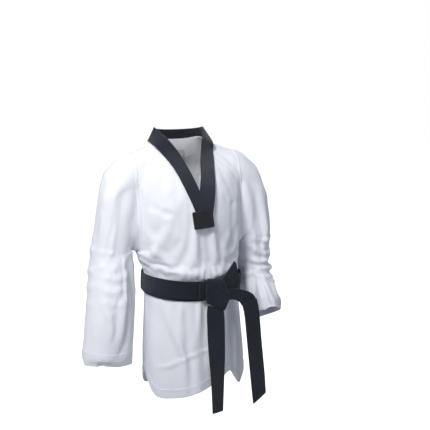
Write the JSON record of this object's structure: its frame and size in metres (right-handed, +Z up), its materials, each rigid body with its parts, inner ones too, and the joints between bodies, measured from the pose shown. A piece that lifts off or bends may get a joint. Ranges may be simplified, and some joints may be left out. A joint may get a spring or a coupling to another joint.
{
  "type": "martial arts uniform jacket with belt",
  "caption": "Pullover martial arts jacket with V collar, split skirt and tied waist belt, in its worn shape and open at hem, neck and cuffs.",
  "frame": {"origin": "point on the hem plane straight below the centre of the neck opening", "axes": "+Z up towards the neck, the wearer faces -Y, the wearer's left is +X"},
  "size_m": [0.5653, 0.2851, 0.7618],
  "materials": {
    "jacket_cloth": "white ribbed cotton and polyester weave",
    "collar_tape": "black ribbed collar cloth with stitch rows",
    "belt_cotton": "black cotton belt with long stitch rows",
    "patch": "plain woven patch with stitched border",
    "label": "blank woven label",
    "interlining": "natural cotton interlining"
  },
  "bodies": {
    "torso": {"back_body": "jacket_cloth", "back_neck_band": "collar_tape", "back_neck_core": "interlining", "belt_inner_wrap": "belt_cotton", "belt_outer_wrap": "belt_cotton", "front_body": "jacket_cloth", "knot_over_band": "belt_cotton", "knot_under_band": "belt_cotton", "knot_wing": "belt_cotton", "left_lapel": "collar_tape", "left_lapel_core": "interlining", "left_shoulder_lining": "jacket_cloth", "left_side_panel": "jacket_cloth", "left_tail_arch": "belt_cotton", "left_vent_tack": "jacket_cloth", "neck_label": "label", "neck_patch": "patch", "right_lapel": "collar_tape", "right_lapel_core": "interlining", "right_shoulder_lining": "jacket_cloth", "right_side_panel": "jacket_cloth", "right_vent_tack": "jacket_cloth"},
    "right_upper_arm": {"right_upper_sleeve": "jacket_cloth"},
    "left_upper_arm": {"left_upper_sleeve": "jacket_cloth"},
    "right_forearm": {"right_lower_sleeve": "jacket_cloth", "right_cuff_hem": "jacket_cloth"},
    "left_forearm": {"left_lower_sleeve": "jacket_cloth", "left_cuff_hem": "jacket_cloth"},
    "front_flap": {"front_skirt": "jacket_cloth", "front_hem": "jacket_cloth", "front_right_vent_facing": "jacket_cloth", "front_left_vent_facing": "jacket_cloth"},
    "back_flap": {"back_skirt": "jacket_cloth", "back_hem": "jacket_cloth", "back_right_vent_facing": "jacket_cloth", "back_left_vent_facing": "jacket_cloth"},
    "right_belt_tail": {"right_tail": "belt_cotton", "right_tail_core": "interlining", "right_tail_end": "belt_cotton"},
    "left_belt_tail": {"left_tail": "belt_cotton", "left_tail_core": "interlining", "left_tail_end": "belt_cotton"}
  },
  "joints": [
    {"name": "right_shoulder_swing", "type": "hinge", "parent": "torso", "child": "right_upper_arm", "pos_m": [-0.146, -0.006, 0.56], "axis": [-1, 0, 0], "range_deg": [-25, 80]},
    {"name": "left_shoulder_swing", "type": "hinge", "parent": "torso", "child": "left_upper_arm", "pos_m": [0.146, -0.006, 0.56], "axis": [-1, 0, 0], "range_deg": [-25, 80]},
    {"name": "right_elbow_bend", "type": "hinge", "parent": "right_upper_arm", "child": "right_forearm", "pos_m": [-0.2145, -0.028, 0.335], "axis": [-1, 0, 0], "range_deg": [0, 85]},
    {"name": "left_elbow_bend", "type": "hinge", "parent": "left_upper_arm", "child": "left_forearm", "pos_m": [0.2065, -0.004, 0.335], "axis": [-1, 0, 0], "range_deg": [-28, 57]},
    {"name": "front_skirt_lift", "type": "hinge", "parent": "torso", "child": "front_flap", "pos_m": [0, -0.162, 0.249], "axis": [-1, 0, 0], "range_deg": [0, 35]},
    {"name": "back_skirt_lift", "type": "hinge", "parent": "torso", "child": "back_flap", "pos_m": [0, 0.066, 0.262], "axis": [1, 0, 0], "range_deg": [0, 45]},
    {"name": "right_belt_tail_lift", "type": "hinge", "parent": "front_flap", "child": "right_belt_tail", "pos_m": [0.029, -0.162, 0.249], "axis": [-1, 0, 0], "range_deg": [0, 50]},
    {"name": "left_belt_tail_lift", "type": "hinge", "parent": "front_flap", "child": "left_belt_tail", "pos_m": [0.125, -0.158, 0.2575], "axis": [-1, 0, 0], "range_deg": [0, 50]}
  ]
}
